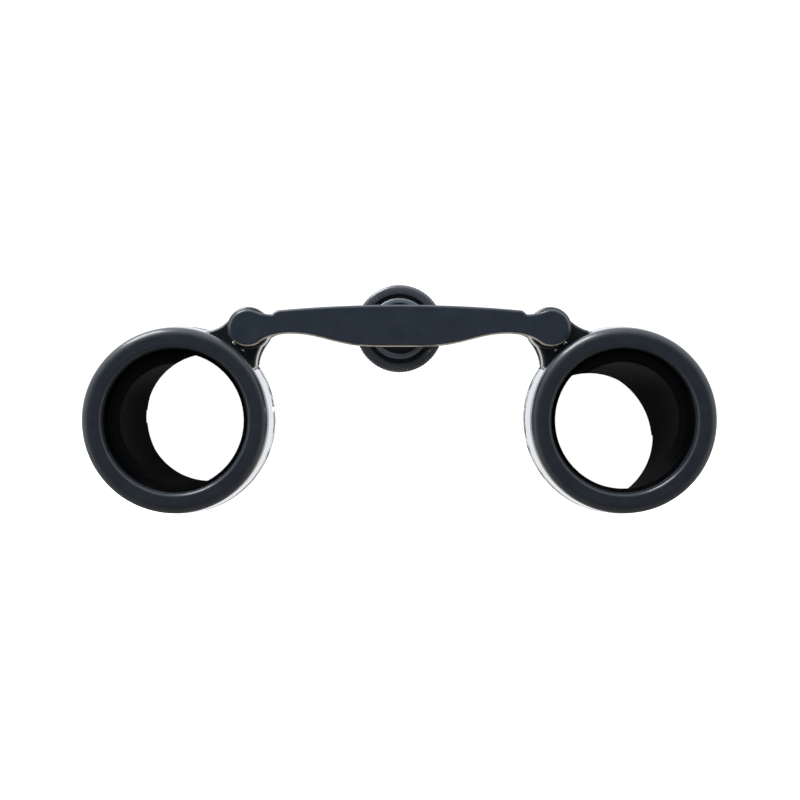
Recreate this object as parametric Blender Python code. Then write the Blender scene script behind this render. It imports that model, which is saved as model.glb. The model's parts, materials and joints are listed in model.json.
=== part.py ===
"""Folding opera glass: a small 3 x 25 Galilean theatre binocular with two hinged barrels.

Frame: metres, X to the right and Y along the optical axes, with the objective end at -Y, and +Z up.
The origin is at the middle of the underside of the glass, which rests on its two chrome sleeves.
"left" is the -X side. Lengths below are in millimetres, and a depth is measured along +Y from
the plane of the objective rings' front faces.
"""
from math import acos, asin, atan2, cos, hypot, pi, sin, sqrt

import bmesh
import bpy

MM = 0.001                      # metres in a millimetre
SIDES = {"left": -1.0, "right": 1.0}

# Where the axes are
AXIS_X = 37.15                  # barrel axis to the middle plane
SLEEVE_RADIUS = 16.0            # chrome sleeve, the widest round of a barrel
AXIS_Z = SLEEVE_RADIUS          # the sleeves stand on the ground plane
PIN_X = 25.2                    # hinge pin to the middle plane
PIN_Z = 31.35                   # hinge pins, focusing wheel and bridges share this height
LENGTH = 46.5                   # objective ring to eyecup rim at mid focus
GAP = 0.3                       # clearance between neighbouring pieces

# Facets of the round pieces
FACETS_LARGE = 28
FACETS_MEDIUM = 20
FACETS_SMALL = 12
FACETS_TINY = 8

# Bridges: three bars at PIN_Z, depths of their front and rear faces
FRONT_BRIDGE = (2.2, 5.2)
REAR_BRIDGE = (17.4, 20.0)
EYEPIECE_BRIDGE = (24.2, 27.0)
BAR_TOP = 3.85                  # above the pin line at the middle
BAR_BOTTOM = 3.15               # below the pin line at the middle
BAR_END = 20.4                  # where the wide part of the bar steps down to its neck
NECK_TOP = 2.25
NECK_BOTTOM = 0.95
DISC_RADIUS = 3.05              # round ends over the hinge pins
BAR_BEVEL = 0.35
REAR_BAR_SLIM = 0.6             # how much shallower the two hidden bars are underneath
REAR_BOSS_RADIUS = 4.8          # round middle of the rear bridge
EYE_BOSS_RADIUS = 4.2           # round middle of the eyepiece bridge

# Hinges
PIN_RADIUS = 1.25
PIN_DEPTHS = (3.2, 36.2)
PIN_BORE = PIN_RADIUS + GAP
PIN_CAP_RADIUS = 2.7
PIN_CAP = (34.4, 36.9)
FRONT_WASHER = (5.5, 6.2)
REAR_WASHER = (16.7, 17.1)
WASHER_RADIUS = 2.9
LUG_BOSS = (6.5, 16.4)
LUG_BOSS_RADIUS = 3.6
WEB = (6.9, 16.0)
WEB_HALF_TOP = 3.4              # half width of the web at the boss
WEB_HALF_FOOT = 4.8             # half width of the web where it meets the barrel
WEB_BEND = 2.4                  # how far down the web its sides stay parallel
WEB_PIN_ALONG = 3.4             # two pin ends in the web, this far from the hinge pin
WEB_PINS = (                    # name, offset from the web's middle, radius, depths
    ("stop_pin", 0.4, 0.36, (6.55, 8.6)),
    ("lug_pin", -1.5, 0.28, (6.7, 8.6)),
)
STOP_HOLE_END = 8.9

# Barrels
SLEEVE = (5.5, 20.8)
SLEEVE_WALL = 0.7
SLEEVE_LIP = 0.7                # closed front edge ahead of the sleeve's slot
PAD_HALF = 5.0                  # land of the housing that fills the slot
HOUSING_RADIUS = SLEEVE_RADIUS - SLEEVE_WALL - GAP
HOUSING_BORE = 13.9
HOUSING_BACK = 25.0
FLANGE = (21.1, 22.1)
REAR_CONE_RADIUS = 13.2
REAR_WALL = 19.5
REAR_BORE = 11.5
GUIDE = (20.0, 25.0)
GUIDE_OUTER = REAR_BORE - GAP
GUIDE_INNER = 10.35

# Objective end
RING_RADIUS = 15.4
RING_DEPTH = 5.2
RING_ROUND = 1.5                # rounding of the ring's outer front edge
RING_MOUTH = 12.1
CLEAR_RADIUS = 11.3
SHOULDER = (3.4, 4.1)
SKIRT_RADIUS = 13.55
SKIRT_END = 8.6
LENS_BORE = 12.85
OBJECTIVE_RADIUS = 12.5
OBJECTIVE_CURVE = 28.0          # radius of the objective's convex front; its back is flat
OBJECTIVE_FRONT = 2.0
OBJECTIVE_BACK = 6.3
RETAINER = (6.6, 8.0)
RETAINER_INNER = 11.6

# Eyepiece end
TUBE = (17.5, 42.5)
TUBE_OUTER = 10.0
TUBE_INNER = 9.1
CELL_FRONT = 37.5
CELL_RADIUS = TUBE_INNER - GAP
CELL_NECK_RADIUS = 7.0
CELL_BACK = 44.4
STOP = (39.6, 40.05)            # field stop in front of the eye lens
STOP_RADIUS = 4.06
EYE_BORE = 5.3
EYE_RADIUS = 5.0
EYE_CURVE = 17.0                # radius of both faces of the biconcave eye lens
EYE_MIDDLE = 41.6
EYE_THICK = 1.0
EYE_RETAINER = (43.15, 44.15)
EYE_RETAINER_INNER = 4.5
EYECUP_FRONT = 34.5
EYECUP_RADIUS = 13.3
EYECUP_BACK_WALL = (42.8, 43.8)

# Eyepiece carriage
ARM = (27.3, 30.3)
ARM_BOSS_RADIUS = 3.5
ARM_BORE = 2.45
COLLAR_RADIUS = 12.0
SLIDE_BUSH = (23.2, 31.4)
SLIDE_BUSH_RADIUS = 2.15
SLIDE_FLANGE_RADIUS = 2.9
SLIDE_FLANGE_BACK = 23.9
CLIP = (30.6, 31.2)
CLIP_RADIUS = 3.2
COLLAR_SCREW_RADIUS = 0.6
COLLAR_SCREW = (TUBE_OUTER + GAP, 13.1)     # reach from the eyepiece's axis
COLLAR_SCREW_HEAD = 1.15

# Focusing wheel and screw
WHEEL = (8.0, 13.0)
WHEEL_RADIUS = 7.33
WHEEL_WELL_RADIUS = 5.78
WHEEL_WELL_FLOOR = 10.4
WHEEL_BACK_WELL = 12.3
HUB_RADIUS = 1.9
HUB = (5.9, 19.6)
HUB_BORE = 1.3
HUB_BORE_START = 7.0
JOURNAL_RADIUS = 1.2
JOURNAL_FRONT = 4.0
JOURNAL_HOLE = 3.7
WHEEL_COLLAR = (7.7, 10.1)
WHEEL_COLLAR_RADII = (4.2, 5.1)
SPINDLE_BUSH_RADII = (2.2, 2.9)
SPINDLE_HOLE = 3.2
SCREW_RADIUS = 1.0
SCREW_SHOULDER_RADIUS = 2.0
SCREW = (9.0, 30.0)
SCREW_SHOULDER = (22.6, 23.9)
SCREW_NUT = (27.3, 29.3)
SCREW_NUT_RADIUS = 2.5

# Where the hinge lugs point
PIN_TO_AXIS = hypot(AXIS_X - PIN_X, AXIS_Z - PIN_Z)


# ---------------------------------------------------------------- materials

def material(name, colour, roughness, metallic):
    """A Principled material; colour is linear RGB."""
    result = bpy.data.materials.new(name)
    result.use_nodes = True
    shader = result.node_tree.nodes["Principled BSDF"]
    shader.inputs["Base Color"].default_value = (*colour, 1.0)
    shader.inputs["Roughness"].default_value = roughness
    shader.inputs["Metallic"].default_value = metallic
    return result


# ---------------------------------------------------------------- outlines

def arc(centre, radius, start, end, steps):
    """Points of a circular arc from one angle to another, ends included; angles in radians."""
    angles = [start + (end - start) * step / steps for step in range(steps + 1)]
    return [(centre[0] + radius * cos(angle), centre[1] + radius * sin(angle)) for angle in angles]


def bezier(points, steps):
    """Points of a quadratic or cubic Bezier curve, both ends included."""
    curve = []
    for step in range(steps + 1):
        rest = list(points)
        share = step / steps
        while len(rest) > 1:
            rest = [((1 - share) * a[0] + share * b[0], (1 - share) * a[1] + share * b[1])
                    for a, b in zip(rest, rest[1:])]
        curve.append(rest[0])
    return curve


def join(*runs):
    """Runs of points put end to end, with points that repeat the one before left out."""
    outline = []
    for point in [point for run in runs for point in run]:
        if not outline or hypot(point[0] - outline[-1][0], point[1] - outline[-1][1]) > 1e-4:
            outline.append(point)
    return outline


def bridge_outline(middle_boss, slim):
    """Outline of a bridge bar about the pin line: a bowed bar, two necks and two round ends.

    A middle_boss over zero adds a round middle; slim raises the underside.
    """
    bar_bottom = BAR_BOTTOM - slim
    neck_bottom = NECK_BOTTOM - slim
    top_angle = pi * 0.62       # where the top fillet runs into the round end
    bottom_angle = -pi * 0.70   # where the bottom fillet does
    disc = (PIN_X, 0.0)
    round_end = arc(disc, DISC_RADIUS, top_angle, bottom_angle, 10)
    top_start = 0.0
    bottom_start = 0.0
    if middle_boss:
        top_start = sqrt(middle_boss ** 2 - BAR_TOP ** 2)
        bottom_start = sqrt(middle_boss ** 2 - bar_bottom ** 2)
    top = bezier([(top_start, BAR_TOP), (11.0, BAR_TOP - 0.05), (BAR_END, BAR_TOP - 0.95)], 4)
    top_neck = bezier([(BAR_END + 0.75, NECK_TOP), (BAR_END + 2.2, NECK_TOP), round_end[0]], 2)
    bottom_neck = bezier([round_end[-1], (BAR_END + 1.6, -neck_bottom - 0.25), (18.6, -neck_bottom)], 2)
    bottom = bezier([(18.3, -neck_bottom), (12.5, -neck_bottom), (11.0, -bar_bottom),
                     (bottom_start + 3.0, -bar_bottom)], 5)
    half = join(top, top_neck, round_end, bottom_neck, bottom)
    if middle_boss:
        crown = arc((0.0, 0.0), middle_boss, pi / 2, atan2(BAR_TOP, top_start), 4)
        keel = arc((0.0, 0.0), middle_boss, -atan2(bar_bottom, bottom_start), -pi / 2, 4)
        half = join(crown, half, keel)
    mirrored = [(-x, z) for x, z in reversed(half) if x > 1e-6]
    return half + mirrored


def lug_outline(half_top, foot_distance):
    """Outline of a hinge lug in its own plane: the pin at (0, 0) and the barrel axis down at -Y.

    A round top of radius half_top runs into a web whose sides flare to WEB_HALF_FOOT and then go
    straight on to foot_distance, inside the body that the web grows from.
    """
    shoulder = sqrt(SLEEVE_RADIUS ** 2 - WEB_HALF_FOOT ** 2)
    foot = PIN_TO_AXIS - shoulder
    side = bezier([(half_top, 0.0), (half_top, -WEB_BEND), (WEB_HALF_FOOT, -foot)], 3)
    side.append((WEB_HALF_FOOT, -foot_distance))
    crown = arc((0.0, 0.0), half_top, pi, 0.0, 8)
    other_side = [(-x, y) for x, y in reversed(side)]
    return join(crown, side, other_side)[:-1]


def to_world(side, points):
    """Points of a lug's plane turned and moved to world X and Z, in millimetres."""
    along = ((AXIS_X - PIN_X) / PIN_TO_AXIS, (PIN_Z - AXIS_Z) / PIN_TO_AXIS)
    return [(side * (PIN_X + x * along[1] - y * along[0]), PIN_Z + x * along[0] + y * along[1])
            for x, y in points]


def rod(radius, depths):
    """Profile of a plain cylinder."""
    return [(0.0, depths[0]), (radius, depths[0]), (radius, depths[1]), (0.0, depths[1])]


def dished_face(centre_depth, curve, radius, rising, steps):
    """Profile of a lens face from its middle to its rim; rising is +1 if depth grows outwards."""
    depths = []
    for step in range(steps + 1):
        reach = radius * step / steps
        depths.append((reach, centre_depth + rising * (curve - sqrt(curve ** 2 - reach ** 2))))
    return depths


# ---------------------------------------------------------------- solids

def add_object(name, mesh, finish, parent, location):
    """Link a mesh as a named object, smooth on its rounds and sharp on its edges."""
    mesh.shade_smooth()
    mesh.set_sharp_from_angle(angle=pi / 5)
    result = bpy.data.objects.new(name, mesh)
    bpy.context.scene.collection.objects.link(result)
    if finish:
        mesh.materials.append(finish)
    result.parent = parent
    base = parent.location if parent else (0.0, 0.0, 0.0)
    result.location = [there - here for there, here in zip(location, base)]
    return result


def turned_mesh(name, outline, facets):
    """A solid of revolution about local Z from an outline of (radius, depth) in millimetres."""
    shape = bmesh.new()
    points = [shape.verts.new((radius * MM, 0.0, depth * MM)) for radius, depth in outline]
    edges = [shape.edges.new(pair) for pair in zip(points, points[1:])]
    if outline[0][0] > 0.0:
        edges.append(shape.edges.new((points[-1], points[0])))
    bmesh.ops.spin(shape, geom=points + edges, cent=(0, 0, 0), axis=(0, 0, 1), angle=2 * pi, steps=facets)
    bmesh.ops.remove_doubles(shape, verts=shape.verts, dist=1e-7)
    bmesh.ops.recalc_face_normals(shape, faces=shape.faces)
    mesh = bpy.data.meshes.new(name)
    shape.to_mesh(mesh)
    shape.free()
    return mesh


def turned(name, outline, facets, finish, x, z, parent=None):
    """A turned piece whose axis runs along world Y through x and z."""
    mesh = turned_mesh(name, outline, facets)
    result = add_object(name, mesh, finish, parent, (x * MM, -LENGTH / 2 * MM, z * MM))
    result.rotation_euler = (-pi / 2, 0.0, 0.0)
    return result


def plate(name, outline, depths, finish, parent=None):
    """A flat piece: an outline of world X and Z in millimetres, extruded along Y between depths."""
    shape = bmesh.new()
    front = (depths[0] - LENGTH / 2) * MM
    base = parent.location if parent else (0.0, 0.0, 0.0)
    loop = [shape.verts.new((x * MM - base[0], front, z * MM - base[2])) for x, z in outline]
    face = shape.faces.new(loop)
    sweep = bmesh.ops.extrude_face_region(shape, geom=[face])
    moved = [item for item in sweep["geom"] if isinstance(item, bmesh.types.BMVert)]
    bmesh.ops.translate(shape, verts=moved, vec=(0.0, (depths[1] - depths[0]) * MM, 0.0))
    bmesh.ops.recalc_face_normals(shape, faces=shape.faces)
    mesh = bpy.data.meshes.new(name)
    shape.to_mesh(mesh)
    shape.free()
    return add_object(name, mesh, finish, parent, base)


def ring(name, radii, depths, facets, finish, x, z, parent=None):
    """A plain ring with square corners."""
    outline = [(radii[0], depths[0]), (radii[1], depths[0]), (radii[1], depths[1]), (radii[0], depths[1])]
    return turned(name, outline, facets, finish, x, z, parent)


def as_cutter(tool):
    """Mark an object as a tool for a Boolean, so that it is no part of the model itself."""
    tool.hide_render = True
    tool.display_type = "WIRE"
    return tool


def combine(target, tool, operation):
    """Add a Boolean modifier."""
    modifier = target.modifiers.new(tool.name, "BOOLEAN")
    modifier.operation = operation
    modifier.solver = "EXACT"
    modifier.object = as_cutter(tool)


def drill(target, name, x, z, radius, depths, facets=FACETS_SMALL):
    """Cut a round hole along Y between two depths."""
    combine(target, turned(name, rod(radius, depths), facets, None, x, z), "DIFFERENCE")


def pivot(name, x, z):
    """An empty on the axis of a hinge."""
    result = bpy.data.objects.new(name, None)
    bpy.context.scene.collection.objects.link(result)
    result.location = (x * MM, 0.0, z * MM)
    return result


# ---------------------------------------------------------------- bridge frame

def bridge(name, depths, middle_boss, slim, finish):
    """One of the three bars, still without holes, with its faces' edges chamfered."""
    outline = [(x, PIN_Z + z) for x, z in bridge_outline(middle_boss, slim)]
    bar = plate(name, outline, depths, finish)
    modifier = bar.modifiers.new("Bevel", "BEVEL")
    modifier.width = BAR_BEVEL * MM
    modifier.segments = 1
    modifier.limit_method = "ANGLE"
    modifier.angle_limit = pi / 3
    return bar


def front_bridge(finish):
    """The bar seen from the front, with blind holes for the pins and the wheel's journal."""
    bar = bridge("front_bridge", FRONT_BRIDGE, 0.0, 0.0, finish)
    for word, side in SIDES.items():
        blind = (PIN_DEPTHS[0] - GAP, FRONT_BRIDGE[1] + 1.0)
        drill(bar, "front_pin_hole_" + word, side * PIN_X, PIN_Z, PIN_BORE, blind)
    blind = (JOURNAL_HOLE, FRONT_BRIDGE[1] + 1.0)
    drill(bar, "journal_hole", 0.0, PIN_Z, JOURNAL_RADIUS + GAP, blind)


def rear_bridge(finish):
    """The fixed bar behind the wheel, bored for the pins and the spindle bush."""
    bar = bridge("rear_bridge", REAR_BRIDGE, REAR_BOSS_RADIUS, REAR_BAR_SLIM, finish)
    through = (REAR_BRIDGE[0] - 1.0, REAR_BRIDGE[1] + 1.0)
    for word, side in SIDES.items():
        drill(bar, "rear_pin_hole_" + word, side * PIN_X, PIN_Z, PIN_BORE, through)
    drill(bar, "spindle_hole", 0.0, PIN_Z, SPINDLE_HOLE, through, FACETS_MEDIUM)


def hinge_pins(word, side, steel, brass, nickel):
    """A hinge pin with its two friction washers and the domed cap on its rear end."""
    x = side * PIN_X
    turned("hinge_pin_" + word, rod(PIN_RADIUS, PIN_DEPTHS), FACETS_SMALL, steel, x, PIN_Z)
    ring("front_washer_" + word, (PIN_BORE, WASHER_RADIUS), FRONT_WASHER, FACETS_SMALL, brass, x, PIN_Z)
    ring("rear_washer_" + word, (PIN_BORE, WASHER_RADIUS), REAR_WASHER, FACETS_SMALL, brass, x, PIN_Z)
    dome = arc((PIN_CAP_RADIUS - 0.8, PIN_CAP[1] - 0.8), 0.8, 0.0, pi / 2, 3)
    floor = PIN_DEPTHS[1] + GAP
    cap = [(0.0, floor), (PIN_BORE, floor), (PIN_BORE, PIN_CAP[0]), (PIN_CAP_RADIUS, PIN_CAP[0]), *dome,
           (0.0, PIN_CAP[1])]
    turned("pin_cap_" + word, cap, FACETS_SMALL, nickel, x, PIN_Z)


# ---------------------------------------------------------------- focusing

def focus_wheel(finish, gloss):
    """The wheel on its hub: a journal in front, a threaded bore from behind, a well in its face."""
    edge = 0.4                  # chamfer of the rim
    outline = [(0.0, JOURNAL_FRONT), (JOURNAL_RADIUS, JOURNAL_FRONT), (JOURNAL_RADIUS, HUB[0]),
               (HUB_RADIUS, HUB[0]), (HUB_RADIUS, WHEEL_WELL_FLOOR), (WHEEL_WELL_RADIUS, WHEEL_WELL_FLOOR),
               (WHEEL_WELL_RADIUS, WHEEL[0]), (WHEEL_RADIUS - edge, WHEEL[0]),
               (WHEEL_RADIUS, WHEEL[0] + edge), (WHEEL_RADIUS, WHEEL[1] - edge),
               (WHEEL_RADIUS - edge, WHEEL[1]),
               (WHEEL_WELL_RADIUS, WHEEL[1]), (WHEEL_WELL_RADIUS, WHEEL_BACK_WELL),
               (HUB_RADIUS, WHEEL_BACK_WELL), (HUB_RADIUS, HUB[1]), (HUB_BORE, HUB[1]),
               (HUB_BORE, HUB_BORE_START), (0.0, HUB_BORE_START)]
    turned("focus_wheel", outline, FACETS_LARGE, finish, 0.0, PIN_Z)
    ring("wheel_collar", WHEEL_COLLAR_RADII, WHEEL_COLLAR, FACETS_MEDIUM, gloss, 0.0, PIN_Z)


def focus_screw(steel, nickel, brass):
    """The screw that the wheel draws in and out, its nut, and the bush that the hub turns in."""
    outline = [(0.0, SCREW[0]), (SCREW_RADIUS, SCREW[0]), (SCREW_RADIUS, SCREW_SHOULDER[0]),
               (SCREW_SHOULDER_RADIUS, SCREW_SHOULDER[0]), (SCREW_SHOULDER_RADIUS, SCREW_SHOULDER[1]),
               (SCREW_RADIUS, SCREW_SHOULDER[1]), (SCREW_RADIUS, SCREW[1]), (0.0, SCREW[1])]
    turned("focus_screw", outline, FACETS_SMALL, steel, 0.0, PIN_Z)
    ring("screw_nut", (SCREW_RADIUS + GAP, SCREW_NUT_RADIUS), SCREW_NUT, 6, nickel, 0.0, PIN_Z)
    ring("spindle_bush", SPINDLE_BUSH_RADII, REAR_BRIDGE, FACETS_MEDIUM, brass, 0.0, PIN_Z)


def eyepiece_bridge(finish):
    """The bar that carries both eyepieces, bored for its slide bushes and the focusing screw."""
    bar = bridge("eyepiece_bridge", EYEPIECE_BRIDGE, EYE_BOSS_RADIUS, REAR_BAR_SLIM, finish)
    through = (EYEPIECE_BRIDGE[0] - 1.0, EYEPIECE_BRIDGE[1] + 1.0)
    for word, side in SIDES.items():
        drill(bar, "slide_hole_" + word, side * PIN_X, PIN_Z, ARM_BORE, through)
    drill(bar, "screw_hole", 0.0, PIN_Z, SCREW_RADIUS + GAP, through)


def slide_bush(word, side, brass, steel):
    """The flanged bush on which the bridge slides and the arm turns, and the clip that keeps both."""
    x = side * PIN_X
    outline = [(PIN_BORE, SLIDE_BUSH[0]), (SLIDE_FLANGE_RADIUS, SLIDE_BUSH[0]),
               (SLIDE_FLANGE_RADIUS, SLIDE_FLANGE_BACK), (SLIDE_BUSH_RADIUS, SLIDE_FLANGE_BACK),
               (SLIDE_BUSH_RADIUS, SLIDE_BUSH[1]), (PIN_BORE, SLIDE_BUSH[1])]
    turned("slide_bush_" + word, outline, FACETS_SMALL, brass, x, PIN_Z)
    ring("bush_clip_" + word, (ARM_BORE, CLIP_RADIUS), CLIP, FACETS_SMALL, steel, x, PIN_Z)


# ---------------------------------------------------------------- barrels

def barrel_housing(word, side, finish, parent):
    """The cast housing: a tube with a rear cone, the land in the sleeve's slot, and the hinge lug."""
    x = side * AXIS_X
    outline = [(HOUSING_BORE, SLEEVE[0]), (HOUSING_RADIUS, SLEEVE[0]), (HOUSING_RADIUS, FLANGE[0]),
               (SLEEVE_RADIUS, FLANGE[0]), (SLEEVE_RADIUS, FLANGE[1]), (REAR_CONE_RADIUS, HOUSING_BACK),
               (REAR_BORE, HOUSING_BACK), (REAR_BORE, REAR_WALL), (HOUSING_BORE, REAR_WALL)]
    housing = turned("barrel_housing_" + word, outline, FACETS_LARGE, finish, x, AXIS_Z, parent)

    half_angle = asin(PAD_HALF / SLEEVE_RADIUS)
    outer = arc((0.0, -PIN_TO_AXIS), SLEEVE_RADIUS, pi / 2 + half_angle, pi / 2 - half_angle, 6)
    middle = (HOUSING_BORE + HOUSING_RADIUS) / 2
    chord = middle - PIN_TO_AXIS - 0.9
    land = outer + [(PAD_HALF, chord), (-PAD_HALF, chord)]
    pad_depths = (SLEEVE[0] + SLEEVE_LIP + GAP, FLANGE[1] - 0.4)
    pad = plate("pad_" + word, to_world(side, land), pad_depths, None)
    combine(housing, pad, "UNION")

    web_foot = PIN_TO_AXIS - middle + 0.5
    web = plate("web_" + word, to_world(side, lug_outline(WEB_HALF_TOP, web_foot)), WEB, None)
    combine(housing, web, "UNION")
    boss = rod(LUG_BOSS_RADIUS, LUG_BOSS)
    combine(housing, turned("boss_" + word, boss, FACETS_MEDIUM, None, side * PIN_X, PIN_Z), "UNION")

    through = (LUG_BOSS[0] - 1.0, LUG_BOSS[1] + 1.0)
    drill(housing, "lug_bore_" + word, side * PIN_X, PIN_Z, PIN_BORE, through)
    blind = (LUG_BOSS[0] - 1.0, STOP_HOLE_END)
    for label, offset, radius, _ in WEB_PINS:
        hole = to_world(side, [(offset, -WEB_PIN_ALONG)])[0]
        drill(housing, label + "_hole_" + word, *hole, radius + GAP, blind, FACETS_TINY)


def chrome_sleeve(word, side, finish, parent):
    """The polished sleeve, slotted from behind so that it slides past the hinge lug."""
    sleeve = ring("chrome_sleeve_" + word, (SLEEVE_RADIUS - SLEEVE_WALL, SLEEVE_RADIUS), SLEEVE,
                  FACETS_LARGE, finish, side * AXIS_X, AXIS_Z, parent)
    half = PAD_HALF + GAP
    inside = SLEEVE_RADIUS / 2 - PIN_TO_AXIS
    slot = [(-half, 0.0), (half, 0.0), (half, inside), (-half, inside)]
    tool = plate("slot_" + word, to_world(side, slot), (SLEEVE[0] + SLEEVE_LIP, SLEEVE[1] + 1.0), None)
    combine(sleeve, tool, "DIFFERENCE")


def lug_pins(word, side, finish, parent):
    """The two small pin ends set in the front of the web."""
    for label, offset, radius, depths in WEB_PINS:
        x, z = to_world(side, [(offset, -WEB_PIN_ALONG)])[0]
        outline = [(0.0, depths[0]), (radius, depths[0] + 0.15), (radius, depths[1]), (0.0, depths[1])]
        turned(label + "_" + word, outline, FACETS_TINY, finish, x, z, parent)


def objective(word, side, finish, glass, parent):
    """The objective end: bezel ring with its seat, lens, and the ring that keeps the lens in."""
    x = side * AXIS_X
    rounded = arc((RING_RADIUS - RING_ROUND, RING_ROUND), RING_ROUND, -pi / 2, 0.0, 3)
    outline = [(RING_MOUTH, 0.3), (RING_MOUTH + 0.3, 0.0), *rounded, (RING_RADIUS, RING_DEPTH),
               (SKIRT_RADIUS, RING_DEPTH), (SKIRT_RADIUS, SKIRT_END), (LENS_BORE, SKIRT_END),
               (LENS_BORE, SHOULDER[1]), (CLEAR_RADIUS, SHOULDER[1]), (CLEAR_RADIUS, SHOULDER[0])]
    turned("objective_ring_" + word, outline, FACETS_LARGE, finish, x, AXIS_Z, parent)
    face = dished_face(OBJECTIVE_FRONT, OBJECTIVE_CURVE, OBJECTIVE_RADIUS, 1.0, 4)
    back = [(OBJECTIVE_RADIUS, OBJECTIVE_BACK), (0.0, OBJECTIVE_BACK)]
    turned("objective_lens_" + word, face + back, FACETS_LARGE, glass, x, AXIS_Z, parent)
    ring("objective_retainer_" + word, (RETAINER_INNER, OBJECTIVE_RADIUS), RETAINER, FACETS_LARGE, finish,
         x, AXIS_Z, parent)


# ---------------------------------------------------------------- eyepieces

def ocular_arm(word, side, finish, parent):
    """The arm that turns on the slide bush and clamps the eyepiece tube in its collar."""
    x = side * AXIS_X
    collar = rod(COLLAR_RADIUS, ARM)
    arm = turned("ocular_arm_" + word, collar, FACETS_LARGE, finish, x, AXIS_Z, parent)
    foot = PIN_TO_AXIS - COLLAR_RADIUS + 3.0
    web = plate("arm_web_" + word, to_world(side, lug_outline(ARM_BOSS_RADIUS, foot)), ARM, None)
    combine(arm, web, "UNION")
    through = (ARM[0] - 1.0, ARM[1] + 1.0)
    drill(arm, "collar_bore_" + word, x, AXIS_Z, TUBE_OUTER + GAP, through, FACETS_LARGE)
    drill(arm, "arm_bore_" + word, side * PIN_X, PIN_Z, ARM_BORE, through)
    hole_radius = COLLAR_SCREW_RADIUS + GAP
    screw_hole = radial_cylinder("screw_hole_" + word, side, hole_radius, (8.0, 14.0), None, None)
    combine(arm, screw_hole, "DIFFERENCE")


def radial_cylinder(name, side, radius, reach, finish, parent, head=0.0):
    """A cylinder that stands out from the barrel axis, away from the hinge, at the arm's depth."""
    start, end = reach
    outline = rod(radius, reach)
    if head:
        outline[2:] = [(radius, end - 0.8), (head, end - 0.8), (head, end), (0.0, end)]
    mesh = turned_mesh(name, outline, FACETS_TINY)
    middle = ((ARM[0] + ARM[1]) / 2 - LENGTH / 2) * MM
    result = add_object(name, mesh, finish, parent, (side * AXIS_X * MM, middle, AXIS_Z * MM))
    away = acos((AXIS_Z - PIN_Z) / PIN_TO_AXIS)
    result.rotation_euler = (0.0, side * away, 0.0)
    return result


def eyepiece(word, side, finish, hard_rubber, glass, steel, parent):
    """The draw tube with its lens cell, eye lens, keeper ring, eyecup and clamp screw."""
    x = side * AXIS_X
    ring("ocular_tube_" + word, (TUBE_INNER, TUBE_OUTER), TUBE, FACETS_LARGE, finish, x, AXIS_Z, parent)
    cell = [(TUBE_INNER - 1.1, CELL_FRONT), (CELL_RADIUS, CELL_FRONT), (CELL_RADIUS, TUBE[1]),
            (CELL_NECK_RADIUS, TUBE[1]), (CELL_NECK_RADIUS, CELL_BACK), (EYE_BORE, CELL_BACK),
            (EYE_BORE, STOP[1]), (STOP_RADIUS, STOP[1]), (STOP_RADIUS, STOP[0])]
    turned("eye_cell_" + word, cell, FACETS_MEDIUM, finish, x, AXIS_Z, parent)
    front = dished_face(EYE_MIDDLE - EYE_THICK / 2, EYE_CURVE, EYE_RADIUS, -1.0, 2)
    back = dished_face(EYE_MIDDLE + EYE_THICK / 2, EYE_CURVE, EYE_RADIUS, 1.0, 2)
    turned("eye_lens_" + word, front + back[::-1], FACETS_MEDIUM, glass, x, AXIS_Z, parent)
    ring("eye_retainer_" + word, (EYE_RETAINER_INNER, EYE_RADIUS), EYE_RETAINER, FACETS_MEDIUM, finish,
         x, AXIS_Z, parent)
    turned("eyecup_" + word, eyecup_outline(), FACETS_LARGE, hard_rubber, x, AXIS_Z, parent)
    radial_cylinder("collar_screw_" + word, side, COLLAR_SCREW_RADIUS, COLLAR_SCREW, steel, parent,
                    COLLAR_SCREW_HEAD)


def eyecup_outline():
    """Profile of the eyecup: a sleeve over the tube that flares to a rounded rim and a shallow dish."""
    bore = TUBE_OUTER + GAP
    hole = CELL_NECK_RADIUS + GAP
    rim = arc((EYECUP_RADIUS - 0.8, LENGTH - 0.8), 0.8, 0.0, pi, 4)
    flare = bezier([(bore + 1.3, 37.5), (bore + 1.5, 40.5), (EYECUP_RADIUS, 41.5),
                    (EYECUP_RADIUS, LENGTH - 0.8)], 3)
    dish = bezier([rim[-1], (10.6, EYECUP_BACK_WALL[1]), (9.0, EYECUP_BACK_WALL[1])], 2)
    front = [(bore, EYECUP_FRONT), (bore + 1.0, EYECUP_FRONT), (bore + 1.3, EYECUP_FRONT + 0.3)]
    back = [(hole, EYECUP_BACK_WALL[1]), (hole, EYECUP_BACK_WALL[0]), (bore, EYECUP_BACK_WALL[0])]
    return join(front, flare, rim, dish, back)


# ---------------------------------------------------------------- assembly

def clear_scene():
    """Remove whatever the file opened with."""
    for item in list(bpy.data.objects):
        bpy.data.objects.remove(item)


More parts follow.
